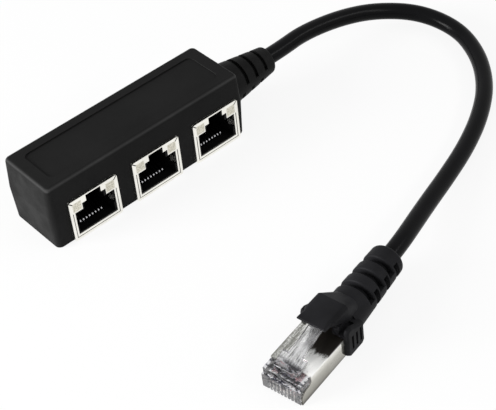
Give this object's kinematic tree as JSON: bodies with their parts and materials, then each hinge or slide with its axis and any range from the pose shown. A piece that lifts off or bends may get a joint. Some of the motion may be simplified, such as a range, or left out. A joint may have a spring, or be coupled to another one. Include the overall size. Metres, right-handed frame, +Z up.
{
  "type": "rj45 splitter adapter",
  "caption": "Black moulded splitter block with three shielded RJ45 jacks on its front and a short round cable that ends in a shielded, booted RJ45 plug.",
  "frame": {"origin": "middle of the block's underside, on the surface it lies on", "axes": "+X along the block towards its cable, -Y out of the three sockets, +Z up"},
  "size_m": [0.1416, 0.1049, 0.0209],
  "materials": {
    "black_moulding": "matte, finely textured",
    "black_jacket": "satin",
    "black_insulator": "matte",
    "nickel_sheet": "bright nickel plate",
    "plug_nickel": "bright nickel plate",
    "gold_contact": "gold plate",
    "clear_plastic": "clear",
    "conductor": "insulated, mixed colours",
    "board_green": "solder mask"
  },
  "bodies": {
    "root": {"housing": "black_moulding", "circuit_board": "board_green", "board_leads": "conductor", "jack_shield_1": "nickel_sheet", "jack_insert_1": "black_insulator", "jack_contacts_1": "gold_contact", "jack_shield_2": "nickel_sheet", "jack_insert_2": "black_insulator", "jack_contacts_2": "gold_contact", "jack_shield_3": "nickel_sheet", "jack_insert_3": "black_insulator", "jack_contacts_3": "gold_contact", "strain_relief": "black_moulding", "cable": "black_jacket", "plug_boot": "black_moulding", "plug_shield": "plug_nickel", "plug_body": "clear_plastic", "plug_contacts": "gold_contact", "plug_wires": "conductor"}
  },
  "joints": []
}
